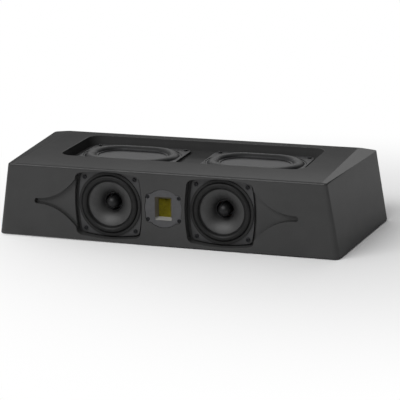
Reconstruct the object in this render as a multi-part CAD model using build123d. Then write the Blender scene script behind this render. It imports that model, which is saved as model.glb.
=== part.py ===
from build123d import *
import os

os.makedirs("parts", exist_ok=True)

# Cabinet: a low body whose ends lean in towards the top and spread towards the back
bottom_front_width = 689.0
top_front_width = 640.0
bottom_back_width = 742.0
front_corner_radius_bottom = 14.0
front_corner_radius_top = 6.0
back_corner_radius = 5.5
top_edge_radius = 5.0
bottom_edge_radius = 1.5
facet_tilt = 7.0
facet_inset = 9.5
wall = 18.0

# Base panel, its screws and the feet
base_thickness = 15.0
base_land = 8.0
base_gap = 0.4
base_screw_pitch = 215.0
base_screw_bite = 12.0
foot_radius = 14.0
foot_height = 2.0
foot_edge = 0.8
foot_inset_x = 62.0
foot_inset_y = 42.0

# Recess in the top that holds the two passive radiators
well_end_margin = 17.5
well_side_margin = 16.75
well_depth = 20.0
well_floor = 10.0
well_front_rim = 91.0
well_back_rim = 27.5
well_corner_radius = 28.0
well_draft = 6.0
top_panel = 15.0
well_edge_radius = 1.2

# Woofer pockets and the horn-shaped recesses beside them
woofer_pitch = 227.0
woofer_sink = 14.0
pocket_gap = 2.0
pocket_side_gap = 6.0
pocket_margin = 6.0
pocket_floor = 10.0
horn_depth = 8.0
horn_tip_reach = 152.5
horn_tip_half = 5.5
horn_waist_reach = 107.0
horn_waist_half = 14.5
horn_mouth_inset = 15.0
horn_mouth_drop = 5.5
horn_tip_bevel = 3.0

# Woofer frame
frame_half = 64.5
frame_bulge = 6.0
frame_corner_radius = 10.0
flange_thickness = 5.0
flange_land = 3.0
flange_chamfer = 0.6
basket_wall = 3.0
basket_foot_radius = 40.0
basket_depth = 42.0
basket_legs = 6
basket_leg_width = 13.0
basket_floor = 4.0
spider_room = 3.0
spider_ledge = 4.0
cutout_gap = 1.5

# Woofer moving parts and soft parts
roll_radius = 6.0
roll_height = 5.0
soft_thickness = 1.0
surround_lip = 4.0
gasket_margin = 1.2
gasket_wall = 1.15
gasket_height = 2.6
gasket_chamfer = 0.8
cone_lip = 2.0
cone_thickness = 1.2
cone_depth = 22.0
cone_bow = 3.0
former_radius = 17.5
former_wall = 0.5
former_tuck = 2.0
winding_thickness = 0.7
winding_length = 11.0
spider_waves = 4
spider_wave_height = 1.8
moving_gap = 0.35
cone_travel = 4.0

# Woofer motor
pole_gap = 0.5
coil_gap = 0.6
top_plate_thickness = 5.0
top_plate_radius = 36.0
magnet_inner_radius = 25.0
magnet_radius = 40.0
magnet_thickness = 15.0
yoke_thickness = 5.0
yoke_radius = 37.0
pole_vent_radius = 6.0
plug_radius = 12.5
plug_rise = 38.0
plug_nose = 12.0

# Machine screws
screw_radius = 2.1
screw_head_radius = 4.0
screw_head_height = 2.4
screw_socket_radius = 1.6
screw_socket_depth = 1.4
screw_length = 16.0
screw_gap = 0.15
woofer_screw_inset = 13.5

# Folded-ribbon tweeter
plate_radius = 37.5
plate_width = 71.0
plate_height = 56.0
plate_corner_radius = 7.0
plate_thickness = 3.0
plate_sink = 0.8
tweeter_rise = 1.5
plate_gap = 0.4
plate_edge_radius = 0.8
plate_screw_sink = 1.8
tweeter_screw_inset_x = 4.0
tweeter_screw_inset_z = 5.8
window_width = 34.0
window_height = 46.0
window_corner_radius = 2.0
throat_width = 24.0
throat_height = 36.0
throat_corner_radius = 1.0
flare_depth = 9.0
plate_boss_wall = 3.0
ribbon_pleats = 22
ribbon_pleat_depth = 2.0
ribbon_film = 0.3
ribbon_border = 2.0
bar_width = 5.0
can_wall = 2.0
can_depth = 18.0
can_gap = 1.0

# Passive radiators
radiator_spacing = 51.5
radiator_end = 2.6
radiator_edge = 5.1
radiator_corner_radius = 16.0
radiator_thickness = 5.0
radiator_rebate = 2.0
radiator_straight = 60.0
radiator_roll_center = 56.0
radiator_roll_radius = 11.5
radiator_roll_height = 6.4
radiator_lip = 3.5
radiator_lip_gap = 0.4
radiator_skin = 1.2
radiator_panel_thickness = 3.0
radiator_panel_edge = 0.8
radiator_screw_inset_x = 11.0
radiator_screw_inset_y = 12.5
radiator_screw_bite = 7.0
radiator_frame_edge = 0.8

# Rear terminals
cup_length = 98.0
cup_height = 68.0
cup_corner_radius = 8.0
cup_flange = 3.0
cup_land = 13.0
cup_wall = 2.5
cup_depth = 24.0
cup_gap = 0.4
cup_screw_inset = 6.5
cup_screw_length = 11.0
post_pitch = 19.05
post_base_radius = 6.5
post_base_height = 4.0
post_stud_radius = 3.4
post_stud_length = 20.0
post_bore_radius = 2.0
post_bore_depth = 18.0
post_tail_length = 8.0
cap_radius = 6.0
cap_length = 13.0
cap_gap = 0.3
cap_flutes = 12
cap_flute_radius = 0.9
cap_edge_radius = 0.8

# Crossover board on the base panel
board_length = 130.0
board_width = 80.0
board_thickness = 1.6
board_rise = 8.0
board_back_gap = 40.0
spacer_radius = 4.0
spacer_inset = 8.0
coil_radius = 21.0
coil_bore_radius = 9.0
coil_height = 20.0
small_coil_radius = 15.0
small_coil_height = 14.0
capacitor_radius = 8.0
capacitor_length = 34.0
resistor_size = 9.0
resistor_length = 38.0
part_spacing = 4.0

# Sizes that follow from the drivers
pocket_half = frame_half + pocket_gap
pocket_reach = frame_half + pocket_side_gap
pocket_depth = woofer_sink + flange_thickness
baffle_thickness = pocket_depth + pocket_floor
cabinet_height = 2 * (pocket_half + pocket_margin)
gasket_outer_radius = frame_half - gasket_margin
roll_out = gasket_outer_radius - gasket_wall - moving_gap - surround_lip
roll_center_radius = roll_out - roll_radius
roll_in = roll_center_radius - roll_radius
flange_bore_radius = roll_out - flange_land
basket_top_radius = flange_bore_radius + basket_wall - pole_gap
woofer_screw_half = frame_half - woofer_screw_inset
spider_depth = cone_depth + cone_travel + spider_room
horn_mouth_reach = pocket_reach - horn_mouth_inset
horn_mouth_half = pocket_half - horn_mouth_drop
horn_tip_start = horn_tip_reach - horn_tip_bevel
horn_tip_flat = horn_tip_half - horn_tip_bevel
tweeter_screw_x = plate_width / 2 - tweeter_screw_inset_x
tweeter_screw_z = plate_height / 2 - tweeter_screw_inset_z
race_out = radiator_roll_center + radiator_roll_radius
race_in = radiator_roll_center - radiator_roll_radius
radiator_width = 2 * (race_out + radiator_lip + radiator_lip_gap + radiator_edge)
race_end = race_out + radiator_lip + radiator_lip_gap + radiator_end
radiator_length = 2 * race_end + radiator_straight
radiator_pitch = radiator_length + radiator_spacing
radiator_screw_x = radiator_length / 2 - radiator_screw_inset_x
radiator_screw_y = radiator_width / 2 - radiator_screw_inset_y
radiator_screw_length = radiator_thickness + radiator_screw_bite
well_length = radiator_pitch + radiator_length + 2 * well_end_margin
well_width = radiator_width + 2 * well_side_margin
cabinet_depth = well_front_rim + well_width + well_back_rim

# Planes that the pieces share
front = -cabinet_depth / 2
back = cabinet_depth / 2
base = foot_height
top = base + cabinet_height
batter = (bottom_front_width - top_front_width) / 2
flare = (bottom_back_width - bottom_front_width) / 2
well_y = front + well_front_rim + well_width / 2
well_floor_z = top - well_depth
cavity_top = well_floor_z - well_floor
axis_z = base + cabinet_height / 2
seat_y = front + woofer_sink
plate_y = front + plate_sink
shoulder_z = base + base_thickness


def half_width(y, z):
    spread = flare * (y - front) / cabinet_depth
    lean = batter * (z - base) / cabinet_height
    return bottom_front_width / 2 + spread - lean


def plan(z, side, ahead, behind, front_radius, back_radius):
    y0 = front + ahead
    y1 = back - behind
    x0 = half_width(y0, z) - side
    x1 = half_width(y1, z) - side
    outline = make_face(Polyline((-x0, y0), (x0, y0), (x1, y1), (-x1, y1), close=True))
    rows = outline.vertices().group_by(Axis.Y)
    outline = fillet(rows[0], front_radius)
    outline = fillet(outline.vertices().group_by(Axis.Y)[-1], back_radius)
    return Pos(0, 0, z) * outline


def bulged_square(half_x, half_y, bulge, radius):
    x = half_x - bulge
    y = half_y - bulge
    arcs = Curve() + [
        ThreePointArc((-x, -y), (0, -half_y), (x, -y)),
        ThreePointArc((x, -y), (half_x, 0), (x, y)),
        ThreePointArc((x, y), (0, half_y), (-x, y)),
        ThreePointArc((-x, y), (-half_x, 0), (-x, -y)),
    ]
    face = make_face(arcs)
    return fillet(face.vertices(), radius)


def ring(r0, r1, z0, z1):
    profile = Polyline((r0, 0, z0), (r1, 0, z0), (r1, 0, z1), (r0, 0, z1), close=True)
    return revolve(make_face(profile), Axis.Z)


def disc(r, z0, z1):
    return Pos(0, 0, z0) * Cylinder(r, z1 - z0, align=(Align.CENTER, Align.CENTER, Align.MIN))


def block(x, y, z0, z1):
    return Pos(0, 0, z0) * Box(x, y, z1 - z0, align=(Align.CENTER, Align.CENTER, Align.MIN))


def rounded(x, y, r, z0, z1):
    return Pos(0, 0, z0) * extrude(RectangleRounded(x, y, r), z1 - z0)


def racetrack(r, z0, z1):
    return Pos(0, 0, z0) * extrude(SlotCenterToCenter(radiator_straight, 2 * r), z1 - z0)


def screw(length):
    body = disc(screw_radius, -length, 0) + disc(screw_head_radius, 0, screw_head_height)
    body = fillet(body.edges().group_by(Axis.Z)[-1], screw_head_height * 0.4)
    socket = RegularPolygon(screw_socket_radius, 6)
    body -= Pos(0, 0, screw_head_height) * extrude(socket, -screw_socket_depth)
    return body


def corners(x, y):
    return [(x, y), (-x, y), (x, -y), (-x, -y)]


def group(solid, places):
    return Compound(children=[Pos(*p) * solid for p in places])


def facing_front(x, y, z):
    return Plane(origin=(x, y, z), x_dir=(1, 0, 0), z_dir=(0, -1, 0)).location


def facing_back(x, y, z):
    return Plane(origin=(x, y, z), x_dir=(-1, 0, 0), z_dir=(0, 1, 0)).location


def save(solid, name):
    solid.label = name
    export_step(solid, f"parts/{name}.step")


# Cabinet body: two plan outlines joined by straight rulings
low = plan(base, 0, 0, 0, front_corner_radius_bottom, back_corner_radius)
high = plan(top, 0, 0, 0, front_corner_radius_top, back_corner_radius)
cabinet = loft([low, high], ruled=True)
cabinet = fillet(cabinet.edges().group_by(Axis.Z)[-1], top_edge_radius)
cabinet = fillet(cabinet.edges().group_by(Axis.Z)[0], bottom_edge_radius)

# Long facets along both ends of the top that widen from the front corners to the back corners
facet = Box(4 * wall, 2 * cabinet_depth, wall, align=(Align.MIN, Align.CENTER, Align.MIN))
facet = Pos(top_front_width / 2 - facet_inset, 0, top) * Rot(0, facet_tilt, 0) * facet
cabinet -= facet + mirror(facet, Plane.YZ)

# Hollow inside: tall behind the baffle, lower beneath the radiator recess
hollow_low = plan(shoulder_z, wall, baffle_thickness, wall, wall, wall)
hollow_high = plan(cavity_top, wall, baffle_thickness, wall, wall, wall)
cabinet -= loft([hollow_low, hollow_high], ruled=True)
chest_end = cabinet_depth - well_front_rim + well_floor
chest_low = plan(shoulder_z, wall, baffle_thickness, chest_end, well_floor, well_floor)
chest_high = plan(top - top_panel, wall, baffle_thickness, chest_end, well_floor, well_floor)
cabinet -= loft([chest_low, chest_high], ruled=True)
rebate_side = wall - base_land
rebate_front = baffle_thickness - base_land
rebate = extrude(plan(shoulder_z, rebate_side, rebate_front, rebate_side, wall, wall), -base_thickness)
opening = extrude(plan(shoulder_z, wall, baffle_thickness, wall, wall, wall), -base_thickness)
cabinet -= rebate + opening

# Radiator recess with drafted walls
well_outline = RectangleRounded(well_length, well_width, well_corner_radius)
well = extrude(well_outline, -well_depth, taper=well_draft)
cabinet -= Pos(0, well_y, top) * well
rim = [e for e in cabinet.edges().filter_by_position(Axis.Z, top - 0.01, top + 0.01)
       if abs(e.center().X) < well_length / 2 + well_edge_radius
       and abs(e.center().Y - well_y) < well_width / 2 + well_edge_radius]
cabinet = fillet(rim, well_edge_radius)

# Openings and screw holes for the radiators
radiator_places = [(s * radiator_pitch / 2, well_y, 0) for s in (-1, 1)]
for place in radiator_places:
    cabinet -= Pos(*place) * racetrack(race_out, cavity_top - 1, well_floor_z + 1)
    for x, y in corners(radiator_screw_x, radiator_screw_y):
        hole = disc(screw_radius + screw_gap, well_floor_z - radiator_screw_bite - screw_gap, well_floor_z + 1)
        cabinet -= Pos(place[0] + x, place[1] + y, 0) * hole

# Pockets sunk in the baffle, each with a horn-shaped recess that tapers away from the center
pocket_radius = frame_corner_radius + pocket_gap
pocket_outline = bulged_square(pocket_reach, pocket_half, frame_bulge, pocket_radius)
pocket = extrude(pocket_outline, -pocket_depth)
upper = Spline(
    (horn_tip_start, horn_tip_half),
    (horn_waist_reach, horn_waist_half),
    (horn_mouth_reach, horn_mouth_half),
    tangents=((-1, 0), (-0.62, 0.78)),
)
horn_edge = Curve() + [
    upper,
    Line((horn_mouth_reach, horn_mouth_half), (horn_mouth_reach, -horn_mouth_half)),
    mirror(upper, Plane.XZ),
    Polyline(
        (horn_tip_start, -horn_tip_half), (horn_tip_reach, -horn_tip_flat),
        (horn_tip_reach, horn_tip_flat), (horn_tip_start, horn_tip_half),
    ),
]
horn = extrude(make_face(horn_edge), -horn_depth)
relief = pocket + horn
relief += disc(basket_top_radius + cutout_gap, -baffle_thickness - 1, 0)
for x, y in corners(woofer_screw_half, woofer_screw_half):
    depth = woofer_sink + screw_length
    relief += Pos(x, y, 0) * disc(screw_radius + screw_gap, -depth, 0)
cabinet -= facing_front(woofer_pitch / 2, front, axis_z) * relief
cabinet -= facing_front(-woofer_pitch / 2, front, axis_z) * mirror(relief, Plane.YZ)

# Tweeter seat: plate outline, opening for the motor and four screw holes
plate_outline = Circle(plate_radius) + RectangleRounded(plate_width, plate_height, plate_corner_radius)
boss_width = window_width + 2 * plate_boss_wall
boss_height = window_height + 2 * plate_boss_wall
seat = extrude(offset(plate_outline, plate_gap), -plate_sink - plate_thickness)
seat += block(boss_width + 2 * can_gap, boss_height + 2 * can_gap, -baffle_thickness - 1, 0)
for x, y in corners(tweeter_screw_x, tweeter_screw_z):
    seat += Pos(x, y, 0) * disc(screw_radius + screw_gap, -plate_sink - plate_screw_sink - screw_length, 0)
cabinet -= facing_front(0, front, axis_z + tweeter_rise) * seat

# Terminal cup seat in the back wall
cup_seat_length = cup_length + 2 * cup_gap
cup_seat_height = cup_height + 2 * cup_gap
cup_seat = rounded(cup_seat_length, cup_seat_height, cup_corner_radius + cup_gap, -cup_flange, 1)
hole_length = cup_length - 2 * cup_land + 2 * cup_wall + 2 * cup_gap
hole_height = cup_height - 2 * cup_land + 2 * cup_wall + 2 * cup_gap
cup_seat += block(hole_length, hole_height, -wall - 1, 0)
cup_screw_x = cup_length / 2 - cup_screw_inset
cup_screw_z = cup_height / 2 - cup_screw_inset
for x, y in corners(cup_screw_x, cup_screw_z):
    cup_seat += Pos(x, y, 0) * disc(screw_radius + screw_gap, -cup_flange - cup_screw_length, 0)
cabinet -= facing_back(0, back, axis_z) * cup_seat

# Base screws run along the front and back lands
base_screw_y = [front + rebate_front + base_land / 2, back - rebate_side - base_land / 2]
base_screws = [(i * base_screw_pitch, y, base) for i in (-1, 0, 1) for y in base_screw_y]
for x, y, z in base_screws:
    cabinet -= Pos(x, y, 0) * disc(screw_radius + screw_gap, base, shoulder_z + base_screw_bite + screw_gap)
save(cabinet, "cabinet_shell")

# Base panel with countersunk seats
panel_side = rebate_side + base_gap
seat_z = screw_head_height + screw_gap
panel_outline = plan(shoulder_z, panel_side, rebate_front + base_gap, panel_side, wall, wall)
base_panel = extrude(panel_outline, -base_thickness)
for x, y, z in base_screws:
    base_panel -= Pos(x, y, 0) * disc(screw_radius + screw_gap, base - 1, shoulder_z + 1)
    base_panel -= Pos(x, y, 0) * disc(screw_head_radius + screw_gap, base - 1, base + seat_z)
save(base_panel, "base_panel")
turned = Rot(180, 0, 0) * screw(base_thickness + base_screw_bite - seat_z)
save(group(turned, [(x, y, z + seat_z) for x, y, z in base_screws]), "base_screws")

# Feet
foot = fillet(disc(foot_radius, 0, foot_height).edges().group_by(Axis.Z)[0], foot_edge)
foot_y = cabinet_depth / 2 - foot_inset_y
front_foot_x = half_width(-foot_y, base) - foot_inset_x
back_foot_x = half_width(foot_y, base) - foot_inset_x
save(Pos(-front_foot_x, -foot_y, 0) * foot, "foot_front_left")
save(Pos(front_foot_x, -foot_y, 0) * foot, "foot_front_right")
save(Pos(-back_foot_x, foot_y, 0) * foot, "foot_back_left")
save(Pos(back_foot_x, foot_y, 0) * foot, "foot_back_right")

# Woofer basket: bulged square flange, conical legs, spider ledge and motor seat
slope = (basket_top_radius - basket_foot_radius) / (basket_depth - flange_thickness)


def bowl_radius(z):
    return basket_top_radius + (z + flange_thickness) * slope


bowl = revolve(make_face(Polyline(
    (basket_top_radius - basket_wall, 0, -flange_thickness),
    (basket_top_radius, 0, -flange_thickness),
    (basket_foot_radius, 0, -basket_depth),
    (basket_foot_radius - basket_wall, 0, -basket_depth),
    close=True,
)), Axis.Z)
leg_align = (Align.MIN, Align.CENTER, Align.CENTER)
leg = Box(basket_top_radius, basket_leg_width, 2 * basket_depth, align=leg_align)
legs = [Rot(0, 0, (i + 0.5) * 360 / basket_legs) * leg for i in range(basket_legs)]
flange = bulged_square(frame_half, frame_half, frame_bulge, frame_corner_radius)
basket = extrude(flange, -flange_thickness)
basket -= disc(flange_bore_radius, -flange_thickness - 1, 1)
rim = basket.edges().group_by(Axis.Z)[-1].filter_by(lambda e: e.length < 4 * frame_half)
basket = chamfer(rim, flange_chamfer)
basket += bowl & (Part() + legs)
basket += bowl & disc(basket_top_radius, -flange_thickness - basket_wall, -flange_thickness)
ledge_z = -spider_depth
ledge_radius = bowl_radius(ledge_z) - basket_wall / 2
spider_radius = ledge_radius - basket_wall
basket += ring(spider_radius - spider_ledge, ledge_radius, ledge_z - basket_wall, ledge_z)
basket += ring(magnet_inner_radius, basket_foot_radius, -basket_depth, -basket_depth + basket_floor)
for x, y in corners(woofer_screw_half, woofer_screw_half):
    basket -= Pos(x, y, 0) * disc(screw_radius + screw_gap, -flange_thickness - 1, 1)

# Surround: flat outer lip, half roll, flat inner lip
t = soft_thickness
surround = revolve(make_face(Curve() + [
    Line((roll_out + surround_lip, 0, 0), (roll_out - t, 0, 0)),
    ThreePointArc((roll_out - t, 0, 0), (roll_center_radius, 0, roll_height), (roll_in + t, 0, 0)),
    Line((roll_in + t, 0, 0), (roll_in - cone_lip, 0, 0)),
    Line((roll_in - cone_lip, 0, 0), (roll_in - cone_lip, 0, t)),
    Line((roll_in - cone_lip, 0, t), (roll_in, 0, t)),
    ThreePointArc((roll_in, 0, t), (roll_center_radius, 0, roll_height + t), (roll_out, 0, t)),
    Line((roll_out, 0, t), (roll_out + surround_lip, 0, t)),
    Line((roll_out + surround_lip, 0, t), (roll_out + surround_lip, 0, 0)),
]), Axis.Z)

# Gasket ring that clamps the outer lip against the flange
lip_edge = gasket_outer_radius - gasket_wall
gasket_in = roll_out + moving_gap
gasket_shoulder = gasket_height - gasket_chamfer
gasket = revolve(make_face(Polyline(
    (gasket_in, 0, t), (lip_edge, 0, t), (lip_edge, 0, 0), (gasket_outer_radius, 0, 0),
    (gasket_outer_radius, 0, gasket_shoulder), (gasket_outer_radius - gasket_chamfer, 0, gasket_height),
    (gasket_in + gasket_chamfer, 0, gasket_height), (gasket_in, 0, gasket_shoulder),
    close=True,
)), Axis.Z)

# Cone: flat lip under the surround, bowed wall, neck around the coil former
neck = former_radius + former_wall + screw_gap
rim_r = roll_in - cone_lip
rim_z = -moving_gap
mid_r = (neck + rim_r) / 2 - cone_bow
mid_z = (rim_z - cone_depth) / 2 + cone_bow
w = cone_thickness
cone = revolve(make_face(Curve() + [
    Line((roll_in, 0, rim_z), (rim_r, 0, rim_z)),
    ThreePointArc((rim_r, 0, rim_z), (mid_r, 0, mid_z), (neck, 0, -cone_depth)),
    Line((neck, 0, -cone_depth), (neck + w, 0, -cone_depth)),
    ThreePointArc((neck + w, 0, -cone_depth), (mid_r + w, 0, mid_z - w), (rim_r + w, 0, rim_z - w)),
    Line((rim_r + w, 0, rim_z - w), (roll_in, 0, rim_z - w)),
    Line((roll_in, 0, rim_z - w), (roll_in, 0, rim_z)),
]), Axis.Z)

# Voice coil: thin former with the winding centered in the magnetic gap
gap_z = -basket_depth - top_plate_thickness / 2
coil_low = gap_z - winding_length / 2
coil_high = gap_z + winding_length / 2
coil = ring(former_radius, former_radius + former_wall, coil_low, -cone_depth + former_tuck)
winding_radius = former_radius + former_wall + winding_thickness
coil += ring(former_radius + former_wall / 2, winding_radius, coil_low, coil_high)

# Spider: concentric waves between the former and the basket ledge
wave_in = former_radius + former_wall + moving_gap
wave_start = wave_in + spider_ledge / 2
wave_end = spider_radius - spider_ledge
wave_step = (wave_end - wave_start) / (2 * spider_waves)
upper_wave = [(wave_in, 0, ledge_z + t)]
for i in range(2 * spider_waves + 1):
    upper_wave.append((wave_start + i * wave_step, 0, ledge_z + t + spider_wave_height * (i % 2)))
upper_wave.append((spider_radius, 0, ledge_z + t))
lower_wave = [(r, 0, z - t) for r, y, z in reversed(upper_wave)]
spider = revolve(make_face(Polyline(*upper_wave, *lower_wave, close=True)), Axis.Z)

# Motor: top plate, ring magnet, yoke with its vented pole, and the bullet plug on the pole
plate_z = -basket_depth - top_plate_thickness
magnet_z = plate_z - magnet_thickness
gap_radius = winding_radius + coil_gap
top_plate = ring(gap_radius, top_plate_radius, plate_z, -basket_depth)
magnet = ring(magnet_inner_radius, magnet_radius, magnet_z, plate_z)
yoke = disc(yoke_radius, magnet_z - yoke_thickness, magnet_z)
yoke += disc(former_radius - pole_gap, magnet_z, -basket_depth)
yoke -= disc(pole_vent_radius, magnet_z - yoke_thickness - 1, -basket_depth + 1)
plug_top = -basket_depth + plug_rise
plug = revolve(make_face(Curve() + [
    Line((0, 0, -basket_depth), (plug_radius, 0, -basket_depth)),
    Line((plug_radius, 0, -basket_depth), (plug_radius, 0, plug_top - plug_nose)),
    Spline(
        (plug_radius, 0, plug_top - plug_nose), (0, 0, plug_top),
        tangents=((0, 0, 1), (-1, 0, 0)),
    ),
    Line((0, 0, plug_top), (0, 0, -basket_depth)),
]), Axis.Z)
woofer_places = [(x, y, 0) for x, y in corners(woofer_screw_half, woofer_screw_half)]
woofer_screws = group(screw(screw_length), woofer_places)

for side, sign in (("left", -1), ("right", 1)):
    at = facing_front(sign * woofer_pitch / 2, seat_y, axis_z)
    save(at * basket, f"woofer_basket_{side}")
    save(at * surround, f"woofer_surround_{side}")
    save(at * gasket, f"woofer_gasket_{side}")
    save(at * cone, f"woofer_cone_{side}")
    save(at * coil, f"voice_coil_{side}")
    save(at * spider, f"woofer_spider_{side}")
    save(at * top_plate, f"top_plate_{side}")
    save(at * magnet, f"ring_magnet_{side}")
    save(at * yoke, f"pole_yoke_{side}")
    save(at * plug, f"phase_plug_{side}")
    save(at * woofer_screws, f"woofer_screws_{side}")

# Tweeter faceplate: round-and-square outline with a flared opening that narrows to the ribbon
faceplate = extrude(plate_outline, -plate_thickness)
faceplate = fillet(faceplate.edges().group_by(Axis.Z)[-1], plate_edge_radius)
faceplate += block(boss_width, boss_height, -flare_depth, -plate_thickness)
mouth = RectangleRounded(window_width, window_height, window_corner_radius)
throat = RectangleRounded(throat_width, throat_height, throat_corner_radius)
throat = Pos(0, 0, -flare_depth) * throat
faceplate -= loft([mouth, throat], ruled=True)
for x, y in corners(tweeter_screw_x, tweeter_screw_z):
    faceplate -= Pos(x, y, 0) * disc(screw_radius + screw_gap, -flare_depth, 1)
    faceplate -= Pos(x, y, 0) * disc(screw_head_radius + screw_gap, -plate_screw_sink, 1)

# Ribbon: a film folded into horizontal pleats, flat at both ends
fold = throat_height / ribbon_pleats
ribbon_end = throat_height / 2 + ribbon_border
outer_folds = [(0, -ribbon_end, 0)]
for i in range(2 * ribbon_pleats + 1):
    outer_folds.append((0, -throat_height / 2 + i * fold / 2, -(i % 2) * ribbon_pleat_depth))
outer_folds.append((0, ribbon_end, 0))
inner_folds = [(0, y, z - ribbon_film) for x, y, z in reversed(outer_folds)]
ribbon_section = make_face(Polyline(*outer_folds, *inner_folds, close=True))
ribbon = Pos(0, 0, -flare_depth) * extrude(ribbon_section, throat_width / 2 + ribbon_border, both=True)

# Tweeter motor: a bar magnet on each side of the ribbon, in a can behind the plate
can_back = -flare_depth - can_depth
can = block(boss_width, boss_height, can_back, -flare_depth)
can -= block(boss_width - 2 * can_wall, boss_height - 2 * can_wall, can_back + can_wall, -flare_depth + 1)
bar_front = -flare_depth - ribbon_pleat_depth - ribbon_film - moving_gap
bar = block(bar_width, throat_height, can_back + can_wall, bar_front)
bar_x = boss_width / 2 - can_wall - moving_gap - bar_width / 2
tweeter_places = [(x, y, -plate_screw_sink) for x, y in corners(tweeter_screw_x, tweeter_screw_z)]
tweeter_screws = group(screw(screw_length), tweeter_places)
at = facing_front(0, plate_y, axis_z + tweeter_rise)
save(at * faceplate, "tweeter_faceplate")
save(at * ribbon, "tweeter_ribbon")
save(at * can, "tweeter_can")
save(at * (Pos(-bar_x, 0, 0) * bar), "tweeter_magnet_left")
save(at * (Pos(bar_x, 0, 0) * bar), "tweeter_magnet_right")
save(at * tweeter_screws, "tweeter_screws")

# Passive radiator: stepped frame, racetrack half-roll surround, flat panel
lip_z = radiator_thickness - radiator_rebate
radiator_frame = rounded(radiator_length, radiator_width, radiator_corner_radius, 0, radiator_thickness)
radiator_frame = fillet(radiator_frame.edges().group_by(Axis.Z)[-1], radiator_frame_edge)
radiator_frame -= racetrack(race_out, -1, radiator_thickness + 1)
radiator_frame -= racetrack(race_out + radiator_lip + radiator_lip_gap, lip_z, radiator_thickness + 1)
for x, y in corners(radiator_screw_x, radiator_screw_y):
    radiator_frame -= Pos(x, y, 0) * disc(screw_radius + screw_gap, -1, radiator_thickness + 1)
k = radiator_skin
crest = radiator_roll_height
roll_profile = make_face(Curve() + [
    Line((race_out + radiator_lip, 0, 0), (race_out - k, 0, 0)),
    ThreePointArc((race_out - k, 0, 0), (radiator_roll_center, 0, crest), (race_in + k, 0, 0)),
    Line((race_in + k, 0, 0), (race_in - radiator_lip, 0, 0)),
    Line((race_in - radiator_lip, 0, 0), (race_in - radiator_lip, 0, k)),
    Line((race_in - radiator_lip, 0, k), (race_in, 0, k)),
    ThreePointArc((race_in, 0, k), (radiator_roll_center, 0, crest + k), (race_out, 0, k)),
    Line((race_out, 0, k), (race_out + radiator_lip, 0, k)),
    Line((race_out + radiator_lip, 0, k), (race_out + radiator_lip, 0, 0)),
])
bend = Rot(0, 0, -90) * revolve(roll_profile, Axis.Z, 180)
run = extrude(Rot(0, 0, 90) * roll_profile, radiator_straight / 2, both=True)
radiator_surround = Pos(radiator_straight / 2, 0, 0) * bend
radiator_surround += mirror(radiator_surround, Plane.YZ)
radiator_surround += run
radiator_surround += mirror(run, Plane.XZ)
radiator_surround = Pos(0, 0, lip_z) * radiator_surround
panel_top = lip_z - moving_gap
radiator_panel = racetrack(race_in, panel_top - radiator_panel_thickness, panel_top)
radiator_panel = fillet(radiator_panel.edges().group_by(Axis.Z)[-1], radiator_panel_edge)
radiator_screw = Pos(0, 0, radiator_thickness) * screw(radiator_screw_length)
screw_places = [(x, y, 0) for x, y in corners(radiator_screw_x, radiator_screw_y)]
radiator_screws = group(radiator_screw, screw_places)
for side, place in zip(("left", "right"), radiator_places):
    at = Pos(place[0], place[1], well_floor_z)
    save(at * radiator_frame, f"radiator_frame_{side}")
    save(at * radiator_surround, f"radiator_surround_{side}")
    save(at * radiator_panel, f"radiator_panel_{side}")
    save(at * radiator_screws, f"radiator_screws_{side}")

# Terminal cup: flush flange, recess for fingers, two posts
cup = rounded(cup_length, cup_height, cup_corner_radius, -cup_flange, 0)
cup_inner_length = cup_length - 2 * cup_land
cup_inner_height = cup_height - 2 * cup_land
cup_back = -cup_depth - cup_wall
cup += block(cup_inner_length + 2 * cup_wall, cup_inner_height + 2 * cup_wall, cup_back, -cup_flange)
cup -= rounded(cup_inner_length, cup_inner_height, cup_wall, -cup_depth, 1)
tail_radius = post_stud_radius - 1
for x in (-post_pitch / 2, post_pitch / 2):
    cup -= Pos(x, 0, 0) * disc(tail_radius + screw_gap, cup_back - 1, 0)
sunk_head = screw_head_height + screw_gap
for x, y in corners(cup_screw_x, cup_screw_z):
    cup -= Pos(x, y, 0) * disc(screw_radius + screw_gap, -cup_flange - 1, 1)
cup_places = [(x, y, -sunk_head) for x, y in corners(cup_screw_x, cup_screw_z)]
cup_screws = group(screw(cup_screw_length), cup_places)
for x, y in corners(cup_screw_x, cup_screw_z):
    cup -= Pos(x, y, 0) * disc(screw_head_radius + screw_gap, -sunk_head, 1)
post = disc(post_base_radius, 0, post_base_height) + disc(post_stud_radius, 0, post_stud_length)
post += disc(tail_radius, -cup_wall - post_tail_length, 0)
post -= disc(post_bore_radius, post_stud_length - post_bore_depth, post_stud_length + 1)
cap_low = post_base_height + cap_gap
cap = ring(post_stud_radius + cap_gap, cap_radius, cap_low, cap_low + cap_length)
cap = fillet(cap.edges().group_by(Axis.Z)[-1].sort_by(SortBy.RADIUS)[-1], cap_edge_radius)
flute = Pos(cap_radius, 0, 0) * disc(cap_flute_radius, cap_low - 1, cap_low + cap_length + 1)
for i in range(cap_flutes):
    cap -= Rot(0, 0, i * 360 / cap_flutes) * flute
at = facing_back(0, back, axis_z)
save(at * cup, "terminal_cup")
save(at * cup_screws, "terminal_screws")
for name, sign in (("positive", 1), ("negative", -1)):
    place = at * Pos(sign * post_pitch / 2, 0, -cup_depth)
    save(place * post, f"binding_post_{name}")
    save(place * cap, f"post_cap_{name}")

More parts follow.
